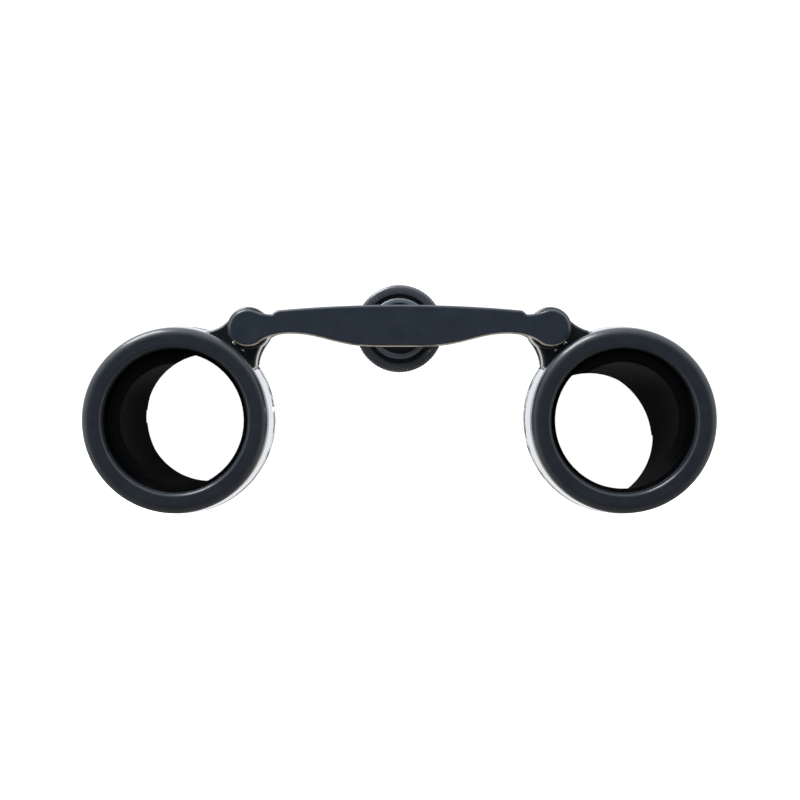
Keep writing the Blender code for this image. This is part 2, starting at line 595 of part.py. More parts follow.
def build():
    """Make every piece of the glass."""
    clear_scene()
    enamel = material("black_enamel", (0.020, 0.025, 0.033), 0.38, 0.0)
    ring_black = material("ring_black", (0.018, 0.023, 0.030), 0.32, 0.0)
    gloss = material("gloss_black", (0.030, 0.036, 0.045), 0.20, 0.0)
    inside_black = material("inside_black", (0.008, 0.008, 0.009), 0.75, 0.0)
    eyecup_black = material("eyecup_black", (0.015, 0.015, 0.017), 0.45, 0.0)
    chrome = material("chrome", (0.86, 0.87, 0.88), 0.06, 1.0)
    nickel = material("nickel", (0.66, 0.65, 0.62), 0.25, 1.0)
    steel = material("steel", (0.55, 0.56, 0.57), 0.30, 1.0)
    brass = material("brass", (0.72, 0.52, 0.22), 0.30, 1.0)
    glass = material("glass", (0.95, 0.97, 0.98), 0.02, 0.0)

    front_bridge(enamel)
    rear_bridge(enamel)
    focus_wheel(enamel, gloss)
    focus_screw(steel, nickel, brass)
    eyepiece_bridge(enamel)
    for word, side in SIDES.items():
        hinge_pins(word, side, steel, brass, nickel)
        slide_bush(word, side, brass, steel)
        barrel = pivot("barrel_pivot_" + word, side * PIN_X, PIN_Z)
        barrel_housing(word, side, enamel, barrel)
        chrome_sleeve(word, side, chrome, barrel)
        lug_pins(word, side, nickel, barrel)
        objective(word, side, ring_black, glass, barrel)
        guide = (GUIDE_INNER, GUIDE_OUTER)
        ring("guide_bush_" + word, guide, GUIDE, FACETS_LARGE, brass, side * AXIS_X, AXIS_Z, barrel)
        carrier = pivot("ocular_pivot_" + word, side * PIN_X, PIN_Z)
        ocular_arm(word, side, enamel, carrier)
        eyepiece(word, side, inside_black, eyecup_black, glass, steel, carrier)


build()
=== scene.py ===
"""Looks of the folding opera glass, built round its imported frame.

Lengths are in millimetres and a depth is measured along +Y from the front plane of the objective
rings, as in the CAD. Every replaced piece keeps the place and the outer size of its CAD node.
"""
import json
from math import atan2, cos, hypot, pi, radians, sin, sqrt, tan

import bpy
from mathutils import Matrix, Vector


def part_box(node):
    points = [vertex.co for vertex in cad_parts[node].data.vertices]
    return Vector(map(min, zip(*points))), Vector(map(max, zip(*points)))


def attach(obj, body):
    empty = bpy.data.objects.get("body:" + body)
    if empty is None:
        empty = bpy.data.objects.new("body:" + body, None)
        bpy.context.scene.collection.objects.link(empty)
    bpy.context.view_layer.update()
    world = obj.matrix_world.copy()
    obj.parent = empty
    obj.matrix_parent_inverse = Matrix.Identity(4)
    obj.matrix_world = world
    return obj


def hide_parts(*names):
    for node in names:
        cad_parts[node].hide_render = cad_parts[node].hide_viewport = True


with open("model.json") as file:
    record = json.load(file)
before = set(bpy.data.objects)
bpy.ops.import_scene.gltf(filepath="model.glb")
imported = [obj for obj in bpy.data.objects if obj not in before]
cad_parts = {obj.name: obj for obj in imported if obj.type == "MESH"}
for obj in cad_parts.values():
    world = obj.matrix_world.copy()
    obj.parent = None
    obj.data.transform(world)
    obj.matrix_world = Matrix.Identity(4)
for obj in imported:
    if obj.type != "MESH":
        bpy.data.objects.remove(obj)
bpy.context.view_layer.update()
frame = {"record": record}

MM = 0.001
SIDES = {"left": -1.0, "right": 1.0}

# Which body and which slot each node belongs to
BODY = {node: body for body, nodes in frame["record"]["behaviour"]["bodies"].items() for node in nodes}
SLOT = {part["node"]: part["material_slot"] for part in frame["record"]["subparts"]}

# Segments round turned pieces
FINE = 192
MEDIUM = 96
SMALL = 48
TINY = 24

# Segments across a rounded corner of a profile, and across a rounded edge of a flat piece
FILLET_STEPS = 4
EDGE_STEPS = 5

OVERRUN = 1.0                   # how far a cutting tool runs past its piece
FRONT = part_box("objective_ring_left")[0].y


def middle(node):
    """Middle of a node's box: x and z in metres."""
    low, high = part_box(node)
    return ((low.x + high.x) / 2, (low.z + high.z) / 2)


def span(node):
    """Radius and the two depths of a turned node, in millimetres."""
    low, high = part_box(node)
    return ((high.x - low.x) / 2 / MM, (low.y - FRONT) / MM, (high.y - FRONT) / MM)


AXIS = {word: middle("objective_lens_" + word) for word in SIDES}
PIN = {word: middle("hinge_pin_" + word) for word in SIDES}
WHEEL = middle("wheel_collar")
PIN_TO_AXIS = hypot(AXIS["right"][0] - PIN["right"][0], AXIS["right"][1] - PIN["right"][1]) / MM


# ---------------------------------------------------------------- profiles and outlines

def arc(centre, radius, start, end, steps):
    """Points of a circular arc, both ends included; angles in radians."""
    angles = [start + (end - start) * step / steps for step in range(steps + 1)]
    return [(centre[0] + radius * cos(angle), centre[1] + radius * sin(angle)) for angle in angles]


def bezier(points, steps):
    """Points of a Bezier curve, both ends included."""
    curve = []
    for step in range(steps + 1):
        rest = list(points)
        share = step / steps
        while len(rest) > 1:
            rest = [((1 - share) * a[0] + share * b[0], (1 - share) * a[1] + share * b[1])
                    for a, b in zip(rest, rest[1:])]
        curve.append(rest[0])
    return curve


def join(*runs):
    """Runs of points put end to end, without points that repeat the one before."""
    outline = []
    for point in [point for run in runs for point in run]:
        if not outline or hypot(point[0] - outline[-1][0], point[1] - outline[-1][1]) > 1e-4:
            outline.append(point)
    return outline


def soften(corners, fillet, closed=True):
    """Corners rounded off. A corner is (across, along) or (across, along, a fillet of its own)."""
    rounded = []
    for index, corner in enumerate(corners):
        here = Vector(corner[:2])
        size = corner[2] if len(corner) > 2 else fillet
        at_end = not closed and index in (0, len(corners) - 1)
        if at_end or size <= 0.0:
            rounded.append(tuple(here))
            continue
        before = Vector(corners[index - 1][:2]) - here
        after = Vector(corners[(index + 1) % len(corners)][:2]) - here
        reach = min(size, before.length * 0.45, after.length * 0.45)
        start = here + before.normalized() * reach
        end = here + after.normalized() * reach
        for step in range(FILLET_STEPS + 1):
            share = step / FILLET_STEPS
            rounded.append(tuple(start.lerp(here, share).lerp(here.lerp(end, share), share)))
    return rounded


def inset(outline, distance):
    """An outline given anticlockwise, moved inwards by a distance."""
    moved = []
    count = len(outline)
    for index, point in enumerate(outline):
        before, after = outline[index - 1], outline[(index + 1) % count]
        first = Vector((point[1] - before[1], before[0] - point[0])).normalized()
        second = Vector((after[1] - point[1], point[0] - after[0])).normalized()
        share = max(1.0 + first.dot(second), 0.4)
        shift = (first + second) * (distance / share)
        moved.append((point[0] - shift.x, point[1] - shift.y))
    return moved


def anticlockwise(outline):
    """The outline turned round if it runs clockwise."""
    area = sum(a[0] * b[1] - b[0] * a[1] for a, b in zip(outline, outline[1:] + outline[:1]))
    return outline if area > 0 else outline[::-1]


def wall(inner, outer, front, back):
    """Cross-section of a plain ring, or of a rod where inner is 0."""
    return [(inner, front), (outer, front), (outer, back), (inner, back)]


# ---------------------------------------------------------------- meshes

def in_scene(name, data):
    """A new object in the scene, from a mesh, a camera or a light."""
    result = bpy.data.objects.new(name, data)
    bpy.context.scene.collection.objects.link(result)
    return result


def mesh_object(name, verts, faces, location):
    """A mesh object, from faces that already point outwards."""
    mesh = bpy.data.meshes.new(name)
    mesh.from_pydata(verts, [], faces)
    mesh.validate()
    result = in_scene(name, mesh)
    result.location = location
    return result


def turned(name, profile, segments, spot, warp=None):
    """A solid of revolution about the axis along Y through spot, from (radius, depth) points."""
    verts, rings = [], []
    for radius, depth in profile:
        if radius < 1e-6:
            rings.append([len(verts)])
            verts.append((0.0, depth * MM, 0.0))
            continue
        rings.append(list(range(len(verts), len(verts) + segments)))
        for step in range(segments):
            angle = 2 * pi * step / segments
            reach = (warp(radius, depth, angle) if warp else radius) * MM
            verts.append((reach * cos(angle), depth * MM, reach * sin(angle)))
    pairs = list(zip(rings, rings[1:]))
    if profile[0][0] > 1e-6:
        pairs.append((rings[-1], rings[0]))
    faces = []
    for near, far in pairs:
        for step in range(segments):
            after = (step + 1) % segments
            if len(near) == 1 and len(far) > 1:
                faces.append((near[0], far[step], far[after]))
            elif len(far) == 1 and len(near) > 1:
                faces.append((near[step], far[0], near[after]))
            elif len(near) > 1:
                faces.append((near[step], far[step], far[after], near[after]))
    area = sum(a[0] * b[1] - b[0] * a[1] for a, b in zip(profile, profile[1:] + profile[:1]))
    if area < 0:
        faces = [face[::-1] for face in faces]
    return mesh_object(name, verts, faces, (spot[0], FRONT, spot[1]))


def slab(name, outline, depths, edge=0.0, spot=(0.0, 0.0)):
    """A flat piece from an outline of x and z about spot, with rounded edges front and back."""
    outline = anticlockwise(outline)
    if edge:
        turns = [pi / 2 * step / EDGE_STEPS for step in range(EDGE_STEPS + 1)]
        front = [(edge * (1 - sin(turn)), depths[0] + edge * (1 - cos(turn))) for turn in turns]
        back = [(away, depths[0] + depths[1] - depth) for away, depth in reversed(front)]
    else:
        front, back = [(0.0, depths[0])], [(0.0, depths[1])]
    verts, rings = [], []
    for away, depth in front + back:
        rings.append(range(len(verts), len(verts) + len(outline)))
        verts += [(x * MM, depth * MM, z * MM) for x, z in inset(outline, away)]
    faces = [tuple(rings[0]), tuple(reversed(rings[-1]))]
    for near, far in zip(rings, rings[1:]):
        for step in range(len(outline)):
            after = (step + 1) % len(outline)
            faces.append((near[step], far[step], far[after], near[after]))
    return mesh_object(name, verts, faces, (spot[0], FRONT, spot[1]))


def combine(piece, tools, operation):
    """Cut tools out of a piece or add them to it, and keep the result as its own mesh."""
    for tool in tools:
        modifier = piece.modifiers.new(tool.name, "BOOLEAN")
        modifier.operation = operation
        modifier.solver = "EXACT"
        modifier.object = tool
    graph = bpy.context.evaluated_depsgraph_get()
    mesh = bpy.data.meshes.new_from_object(piece.evaluated_get(graph))
    piece.modifiers.clear()
    piece.data = mesh
    for tool in tools:
        bpy.data.objects.remove(tool)
    return piece


def drill(name, spot, radius, depths, chamfer=0.0, segments=MEDIUM):
    """A tool for a round hole. With a chamfer it flares at both ends, which breaks the hole's edges."""
    front, back = depths
    if chamfer:
        flare = radius + chamfer + OVERRUN
        profile = [(0.0, front - OVERRUN), (flare, front - OVERRUN), (radius, front + chamfer),
                   (radius, back - chamfer), (flare, back + OVERRUN), (0.0, back + OVERRUN)]
    else:
        profile = wall(0.0, radius, front, back)
    return turned(name, profile, segments, spot)


def dress(piece, node, smooth=40.0, look=None):
    """Shading, material, body and slot of a piece that stands for a CAD node.

    Edges are drawn sharp where the surface turns by more than smooth, in degrees.
    """
    mesh = piece.data
    mesh.shade_smooth()
    mesh.set_sharp_from_angle(angle=radians(smooth))
    weighted = piece.modifiers.new("Weighted normals", "WEIGHTED_NORMAL")
    weighted.keep_sharp = True
    mesh.materials.clear()
    mesh.materials.append(look or LOOKS[SLOT[node]])
    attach(piece, BODY[node])
    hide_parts(node)
    return piece


def fine(node, profile, segments, spot, fillet=0.12, warp=None, look=None):
    """A turned piece in place of a turned CAD node, its corners rounded. A ring's profile is closed."""
    closed = profile[0][0] > 0.0
    shape = soften(profile, fillet, closed)
    return dress(turned(node + "_fine", shape, segments, spot, warp), node, look=look)


def plain(node, inner, segments, spot, fillet=0.12, look=None):
    """A plain ring of the outer size of its CAD node, or a rod where inner is 0."""
    return fine(node, wall(inner, *span(node)), segments, spot, fillet, look=look)


# ---------------------------------------------------------------- materials

class Nodes:
    """A node tree under construction."""

    def __init__(self, tree):
        self.tree = tree

    def add(self, kind, **settings):
        """A node; settings are its properties."""
        node = self.tree.nodes.new("ShaderNode" + kind)
        for key, value in settings.items():
            setattr(node, key, value)
        return node

    def put(self, value, socket):
        """Link a socket, or set a plain value."""
        if isinstance(value, bpy.types.NodeSocket):
            self.tree.links.new(value, socket)
        else:
            socket.default_value = value

    def math(self, operation, first, second):
        """Arithmetic on two values or sockets."""
        node = self.add("Math", operation=operation)
        self.put(first, node.inputs[0])
        self.put(second, node.inputs[1])
        return node.outputs[0]

    def remap(self, value, low, high, out_low=0.0, out_high=1.0, curve="LINEAR"):
        """A value moved from one range to another, and kept inside it."""
        node = self.add("MapRange", clamp=True, interpolation_type=curve)
        for index, item in enumerate((value, low, high, out_low, out_high)):
            self.put(item, node.inputs[index])
        return node.outputs[0]

    def mix(self, share, first, second):
        """A share of the second colour in the first."""
        node = self.add("Mix", data_type="RGBA")
        self.put(share, node.inputs[0])
        self.put(first if isinstance(first, bpy.types.NodeSocket) else (*first, 1.0), node.inputs[6])
        self.put(second if isinstance(second, bpy.types.NodeSocket) else (*second, 1.0), node.inputs[7])
        return node.outputs[2]


class Look(Nodes):
    """A material under construction, with the patterns that the looks share."""

    def __init__(self, name, metallic=0.0):
        self.material = bpy.data.materials.new(name)
        self.material.use_nodes = True
        super().__init__(self.material.node_tree)
        self.shader = self.tree.nodes["Principled BSDF"]
        self.shader.inputs["Metallic"].default_value = metallic
        self.place = self.add("TexCoord").outputs["Object"]

    def noise(self, scale, detail, where=None):
        """Noise from 0 to 1, by default in the piece's own coordinates."""
        node = self.add("TexNoise")
        self.put(where or self.place, node.inputs["Vector"])
        node.inputs["Scale"].default_value = scale
        node.inputs["Detail"].default_value = detail
        node.inputs["Roughness"].default_value = 0.55
        return node.outputs["Fac"]

    def turned_place(self, loose=0.02):
        """Coordinates that change fast across the rings of a turned piece and slowly round it."""
        flat = self.add("VectorMath", operation="MULTIPLY")
        self.put(self.place, flat.inputs[0])
        flat.inputs[1].default_value = (1.0, 0.0, 1.0)
        length = self.add("VectorMath", operation="LENGTH")
        self.put(flat.outputs[0], length.inputs[0])
        split = self.add("SeparateXYZ")
        self.put(self.place, split.inputs[0])
        rings = self.add("CombineXYZ")
        self.put(length.outputs["Value"], rings.inputs[0])
        self.put(split.outputs[1], rings.inputs[1])
        drift = self.add("VectorMath", operation="SCALE")
        self.put(self.place, drift.inputs[0])
        drift.inputs["Scale"].default_value = loose
        both = self.add("VectorMath", operation="ADD")
        self.put(rings.outputs[0], both.inputs[0])
        self.put(drift.outputs[0], both.inputs[1])
        return both.outputs[0]

    def specks(self, scale, size, share):
        """Small round specks: cells a metre, their radius as a share of a cell, and how many have one."""
        node = self.add("TexVoronoi")
        self.put(self.place, node.inputs["Vector"])
        node.inputs["Scale"].default_value = scale
        split = self.add("SeparateColor")
        self.put(node.outputs["Color"], split.inputs[0])
        chosen = self.math("GREATER_THAN", split.outputs[0], 1.0 - share)
        near = self.remap(node.outputs["Distance"], size * 0.5, size, 1.0, 0.0)
        return self.math("MULTIPLY", chosen, near)

    def worn_edges(self):
        """Convex edges, broken up by noise."""
        edge = self.remap(self.add("NewGeometry").outputs["Pointiness"], 0.515, 0.575)
        patches = self.remap(self.noise(900.0, 4.0), 0.42, 0.62)
        return self.math("MULTIPLY", edge, patches)

    def lower_edge_sheen(self):
        """Edges rounded over between a front and an underside, broken up by noise: the mask of a painted
        reflection of the floor.
        """
        split = self.add("SeparateXYZ")
        self.put(self.add("TexCoord").outputs["Normal"], split.inputs[0])
        begins = self.remap(split.outputs[2], -0.45, -0.72)
        ends = self.remap(split.outputs[2], -0.93, -0.985, 1.0, 0.0)
        patches = self.remap(self.noise(230.0, 5.0), 0.36, 0.52)
        return self.math("MULTIPLY", self.math("MULTIPLY", begins, ends), patches)

    def finish(self, colour, roughness, heights):
        """Join up the shader; heights are (value, distance in millimetres) pairs for bumps."""
        self.put(colour, self.shader.inputs["Base Color"])
        self.put(roughness, self.shader.inputs["Roughness"])
        normal = None
        for value, distance in heights:
            bump = self.add("Bump")
            bump.inputs["Strength"].default_value = 1.0
            bump.inputs["Distance"].default_value = distance * MM
            self.put(value, bump.inputs["Height"])
            if normal:
                self.put(normal, bump.inputs["Normal"])
            normal = bump.outputs[0]
        if normal:
            self.put(normal, self.shader.inputs["Normal"])
        return self.material


DUST_GREY = (0.30, 0.32, 0.34)
WORN_GREY = (0.30, 0.31, 0.33)
# Cream of the painted highlight on the front bar's lower edges: a painted reflection of the floor below
PAINTED_SHEEN_CREAM = (0.66, 0.59, 0.50)
# The two tones of the bars' enamel
BAR_BLACK = ((0.015, 0.024, 0.037), (0.020, 0.030, 0.044))


def enamel_look(name, colour, light, roughness, turned_lines=False, wear=0.0, lower_sheen=0.0):
    """Black enamel over metal: mottled, with a fine orange peel, dust and edges worn by a share.

    The lower edges may also carry a painted cream highlight, a reflection of the floor below, by a share of
    their own.
    """
    look = Look(name)
    mottle = look.remap(look.noise(260.0, 5.0), 0.35, 0.70)
    tone = look.mix(mottle, colour, light)
    dust = look.specks(520.0, 0.045, 0.10)
    tone = look.mix(look.math("MULTIPLY", dust, 0.45), tone, DUST_GREY)
    if wear:
        tone = look.mix(look.math("MULTIPLY", look.worn_edges(), wear), tone, WORN_GREY)
    # Painted highlight: a cream reflection of the floor along the lower rounded edges
    if lower_sheen:
        tone = look.mix(look.math("MULTIPLY", look.lower_edge_sheen(), lower_sheen), tone, PAINTED_SHEEN_CREAM)
    look.shader.inputs["Coat Weight"].default_value = 0.5
    look.shader.inputs["Coat Roughness"].default_value = 0.14
    peel = look.noise(2400.0, 2.0)
    smudge = look.remap(look.noise(420.0, 4.0), 0.30, 0.75, roughness - 0.06, roughness + 0.10)
    rough = look.math("ADD", smudge, look.math("MULTIPLY", dust, 0.3))
    heights = [(peel, 0.004)]
    if turned_lines:
        lines = look.noise(5200.0, 2.0, look.turned_place())
        heights.append((lines, 0.003))
        rough = look.math("ADD", rough, look.remap(lines, 0.4, 0.7, 0.0, 0.05))
    else:
        heights.append((look.noise(7000.0, 2.0), 0.0015))
    return look.finish(tone, rough, heights)


def metal_look(name, colour, shade, roughness):
    """Bare metal with turning marks and a little tarnish."""
    look = Look(name, metallic=1.0)
    dull = look.remap(look.noise(340.0, 5.0), 0.45, 0.75, 0.0, 0.35)
    tone = look.mix(dull, colour, shade)
    rings = look.noise(6500.0, 2.0, look.turned_place())
    rough = look.remap(look.noise(700.0, 4.0), 0.3, 0.75, roughness * 0.75, roughness * 1.5)
    return look.finish(tone, rough, [(rings, 0.002)])


def chrome_look():
    """Polished chrome plate: faint polishing lines round the sleeve and finger haze."""
    look = Look("look_chrome", metallic=1.0)
    haze = look.remap(look.noise(180.0, 5.0), 0.45, 0.80)
    tone = look.mix(haze, (0.88, 0.89, 0.91), (0.80, 0.81, 0.83))
    polish = look.noise(5200.0, 2.0, look.turned_place(0.05))
    rough = look.remap(look.noise(520.0, 6.0), 0.35, 0.8, 0.035, 0.13)
    return look.finish(tone, rough, [(polish, 0.0006)])


def matte_look(name, colour, light, roughness):
    """Flat black inside the tubes: a dull coat over turned metal, with rubbed brown patches."""
    look = Look(name)
    look.shader.inputs["Specular IOR Level"].default_value = 0.0
    patch = look.remap(look.noise(140.0, 4.0), 0.50, 0.72)
    tone = look.mix(patch, colour, light)
    lines = look.noise(3800.0, 2.0, look.turned_place())
    grain = look.noise(9000.0, 2.0)
    rough = look.remap(look.noise(600.0, 3.0), 0.3, 0.7, roughness - 0.1, roughness + 0.08)
    return look.finish(tone, rough, [(lines, 0.006), (grain, 0.002)])


def rubber_look():
    """Hard moulded eyecup: a soft sheen, fine grain and a polished look where it is handled."""
    look = Look("look_eyecup")
    mottle = look.remap(look.noise(300.0, 4.0), 0.4, 0.7)
    tone = look.mix(mottle, (0.012, 0.012, 0.014), (0.022, 0.022, 0.024))
    dust = look.specks(600.0, 0.05, 0.12)
    tone = look.mix(look.math("MULTIPLY", dust, 0.5), tone, (0.35, 0.35, 0.36))
    rough = look.remap(look.noise(380.0, 4.0), 0.3, 0.75, 0.36, 0.55)
    return look.finish(tone, rough, [(look.noise(3200.0, 3.0), 0.006), (look.noise(9000.0, 2.0), 0.002)])


def glass_look():
    """Polished lens glass with a trace of dust."""
    look = Look("look_glass")
    look.shader.inputs["Transmission Weight"].default_value = 1.0
    look.shader.inputs["IOR"].default_value = 1.52
    dust = look.specks(420.0, 0.02, 0.15)
    tone = look.mix(look.math("MULTIPLY", dust, 0.3), (1.0, 1.0, 1.0), (0.75, 0.76, 0.78))
    rough = look.math("MULTIPLY", dust, 0.25)
    return look.finish(tone, rough, [])


LOOKS = {
    "black_enamel": enamel_look("look_enamel", *BAR_BLACK, 0.36, wear=0.10),
    "ring_black": enamel_look("look_ring", (0.014, 0.019, 0.026), (0.019, 0.025, 0.034), 0.33, True),
    "gloss_black": enamel_look("look_gloss", (0.105, 0.135, 0.165), (0.130, 0.160, 0.190), 0.20, True),
    "inside_black": matte_look("look_inside", (0.0018, 0.0022, 0.0030), (0.0060, 0.0048, 0.0042), 0.7),
    "eyecup_black": rubber_look(),
    "chrome": chrome_look(),
    "nickel": metal_look("look_nickel", (0.78, 0.78, 0.77), (0.52, 0.51, 0.49), 0.28),
    "steel": metal_look("look_steel", (0.55, 0.56, 0.58), (0.33, 0.32, 0.31), 0.28),
    "brass": metal_look("look_brass", (0.50, 0.37, 0.17), (0.24, 0.16, 0.07), 0.36),
    "glass": glass_look(),
}

# Looks of single pieces that differ from the rest of their slot
WHEEL_LOOK = enamel_look("look_wheel", (0.052, 0.060, 0.074), (0.066, 0.074, 0.088), 0.38, True, 0.8)
# The front bar's lower edges carry a painted cream reflection of the floor
FRONT_BAR_LOOK = enamel_look("look_front_bar", *BAR_BLACK, 0.36, wear=0.10, lower_sheen=0.9)
# Painted shade: the housing and its lug get a darker black than the bars, for the shade under the front bar
# and beside the rings
HOUSING_SHADE_LOOK = enamel_look("look_housing_painted_shade", (0.005, 0.006, 0.009), (0.009, 0.011, 0.015), 0.34, wear=0.10)


# ---------------------------------------------------------------- bridges

BAR_TOP, BAR_BOTTOM = 3.85, 3.15  # above and below the pin line at the middle
BAR_END = 20.4                  # where the wide part steps down to its neck
NECK_TOP, NECK_BOTTOM = 2.25, 0.95
DISC_RADIUS = 3.05              # round ends over the hinge pins
REAR_SLIM = 0.6                 # how much shallower the two rear bars are underneath
REAR_BOSS, EYE_BOSS = 4.8, 4.2  # round middles of the rear and the eyepiece bar
PIN_X = PIN["right"][0] / MM

# Holes of the bars: radius, and the depth where each starts. They all run out behind their bar
THROUGH = 0.0
PIN_SOCKET, JOURNAL_SOCKET = (1.3, 2.9), (1.25, 3.7)
PIN_HOLE, SPINDLE_HOLE = (1.3, THROUGH), (2.92, THROUGH)
SLIDE_HOLE, SCREW_HOLE = (2.2, THROUGH), (1.05, THROUGH)


def bridge_outline(middle_boss, slim):
    """Outline of a bar about the pin line, as in the CAD but with finer curves and rounded steps."""
    bar_bottom, neck_bottom = BAR_BOTTOM - slim, NECK_BOTTOM - slim
    round_end = arc((PIN_X, 0.0), DISC_RADIUS, pi * 0.62, -pi * 0.70, 64)
    top_start = sqrt(middle_boss ** 2 - BAR_TOP ** 2) if middle_boss else 0.0
    bottom_start = sqrt(middle_boss ** 2 - bar_bottom ** 2) if middle_boss else 0.0
    top = bezier([(top_start, BAR_TOP), (11.0, BAR_TOP - 0.05), (BAR_END, BAR_TOP - 0.95)], 20)
    top_neck = bezier([(BAR_END + 0.75, NECK_TOP), (BAR_END + 2.2, NECK_TOP), round_end[0]], 10)
    bottom_neck = bezier([round_end[-1], (BAR_END + 1.6, -neck_bottom - 0.25), (18.6, -neck_bottom)], 10)
    bottom = bezier([(18.3, -neck_bottom), (12.5, -neck_bottom), (11.0, -bar_bottom),
                     (bottom_start + 3.0, -bar_bottom)], 24)
    top[-1] = (*top[-1], 0.30)
    top_neck[0] = (*top_neck[0], 0.25)
    if middle_boss:
        crown = arc((0.0, 0.0), middle_boss, pi / 2, atan2(BAR_TOP, top_start), 12)
        keel = arc((0.0, 0.0), middle_boss, -atan2(bar_bottom, bottom_start), -pi / 2, 12)
        half = join(crown, top, top_neck, round_end, bottom_neck, bottom, keel)
    else:
        half = join(top, top_neck, round_end, bottom_neck, bottom)
    mirrored = [(-point[0], *point[1:]) for point in reversed(half) if point[0] > 1e-6]
    return soften(half + mirrored, 0.0)


def bridge(node, middle_boss, slim, pin_hole, middle_hole, edge=0.45, look=None):
    """A bar with a hole over each hinge pin and one in the middle."""
    _, front, back = span(node)
    bar = slab(node + "_fine", bridge_outline(middle_boss, slim), (front, back), edge, (0.0, WHEEL[1]))
    tools = []
    for x, hole in ((PIN["left"][0], pin_hole), (PIN["right"][0], pin_hole), (0.0, middle_hole)):
        radius, start = hole
        tools.append(drill("hole", (x, WHEEL[1]), radius, (start, back + OVERRUN)))
    combine(bar, tools, "DIFFERENCE")
    dress(bar, node, look=look)


def make_bridges():
    """The three bars. The front one has blind holes, so that its face is unbroken."""
    bridge("front_bridge", 0.0, 0.0, PIN_SOCKET, JOURNAL_SOCKET, edge=0.50, look=FRONT_BAR_LOOK)
    bridge("rear_bridge", REAR_BOSS, REAR_SLIM, PIN_HOLE, SPINDLE_HOLE)
    bridge("eyepiece_bridge", EYE_BOSS, REAR_SLIM, SLIDE_HOLE, SCREW_HOLE)


# ---------------------------------------------------------------- hinges

RUNNING_GAP = 0.08              # between a pin and what turns or slides on it
CAP_GAP = 0.1                   # between a pin's end and its cap
CAP_HOLLOW = 1.9                # how deep the cap is bored
CAP_ROUND = 0.8                 # rounding of the cap's end
SLIDE_RADIUS = 2.15             # slide bush behind its flange
SLIDE_FLANGE = 0.7              # thickness of that flange
CLIP_BORE = 2.2


def make_hinge(word):
    """Pin, washers, cap, slide bush and clip of one hinge."""
    spot = PIN[word]
    radius = span("hinge_pin_" + word)[0]
    bore = radius + RUNNING_GAP
    plain("hinge_pin_" + word, 0.0, SMALL, spot, 0.2)
    plain("front_washer_" + word, bore, MEDIUM, spot, 0.08)
    plain("rear_washer_" + word, bore, MEDIUM, spot, 0.08)
    outer, front, back = span("pin_cap_" + word)
    cup, hollow = radius + CAP_GAP, front + CAP_HOLLOW
    dome = arc((outer - CAP_ROUND, back - CAP_ROUND), CAP_ROUND, 0.0, pi / 2, 10)
    cap = [(0.0, hollow, 0.0), (cup, hollow, 0.0), (cup, front, 0.05), (outer, front, 0.15)]
    cap += [(*point, 0.0) for point in dome] + [(0.0, back)]
    fine("pin_cap_" + word, cap, MEDIUM, spot)
    outer, front, back = span("slide_bush_" + word)
    step = front + SLIDE_FLANGE
    bush = [(bore, front), (outer, front, 0.15), (outer, step, 0.1), (SLIDE_RADIUS, step, 0.05),
            (SLIDE_RADIUS, back), (bore, back)]
    fine("slide_bush_" + word, bush, MEDIUM, spot)
    plain("bush_clip_" + word, CLIP_BORE, MEDIUM, spot, 0.15)


# ---------------------------------------------------------------- focusing

WHEEL_RIM = (7.33, 8.0, 13.0)   # radius over the teeth, and the rim's depths
TEETH, TOOTH_DEPTH = 84, 0.13
KNURL_MARGIN, KNURL_FADE = 0.35, 0.25
RIM_STEPS = 20
RIM_EDGE = 0.42                 # how far the rim's two edges are rolled over
RIM_INSIDE, WELL_RADIUS = 6.35, 5.78  # where the rim's face ends, and the well inside it
WELL_FLOOR, REAR_WELL_FLOOR = 10.4, 12.3
HUB_RADIUS, HUB_FRONT = 1.9, 5.9
HUB_BORE, HUB_BORE_FRONT = 1.05, 7.0
JOURNAL_RADIUS = 1.2            # wheel's front journal, in the socket of the front bar
COLLAR_INSIDE = 4.2             # inner radius of the raised ring in the wheel's face
SCREW_RADIUS = 1.0
THREAD_DEPTHS = (9.2, 22.4)
THREAD_HEIGHT, THREAD_LEAD, THREAD_STARTS = 0.16, 6.0, 8
THREAD_STEP, THREAD_STEPS = 0.05, 270
SHOULDER_RADIUS, SHOULDER_DEPTHS = 2.0, (22.6, 23.9)
NUT_BORE = 1.03
SPINDLE_BORE = 1.95


def knurl(radius, depth, angle):
    """Straight knurling on the wheel's rim, faded out at its edges."""
    wheel, front, back = WHEEL_RIM
    if radius < wheel - RIM_EDGE - 0.03:
        return radius
    share = min(depth - (front + KNURL_MARGIN), back - KNURL_MARGIN - depth) / KNURL_FADE
    wave = 0.5 - 0.5 * cos(TEETH * angle)
    return radius - TOOTH_DEPTH * min(max(share, 0.0), 1.0) * wave ** 0.7


def screw_thread(radius, depth, angle):
    """The steep thread of several starts on the focusing screw."""
    front, back = THREAD_DEPTHS
    if not front < depth < back or radius < SCREW_RADIUS - 0.1:
        return radius
    phase = (depth / THREAD_LEAD - angle / (2 * pi)) * THREAD_STARTS % 1.0
    return radius - THREAD_HEIGHT * abs(2 * phase - 1)


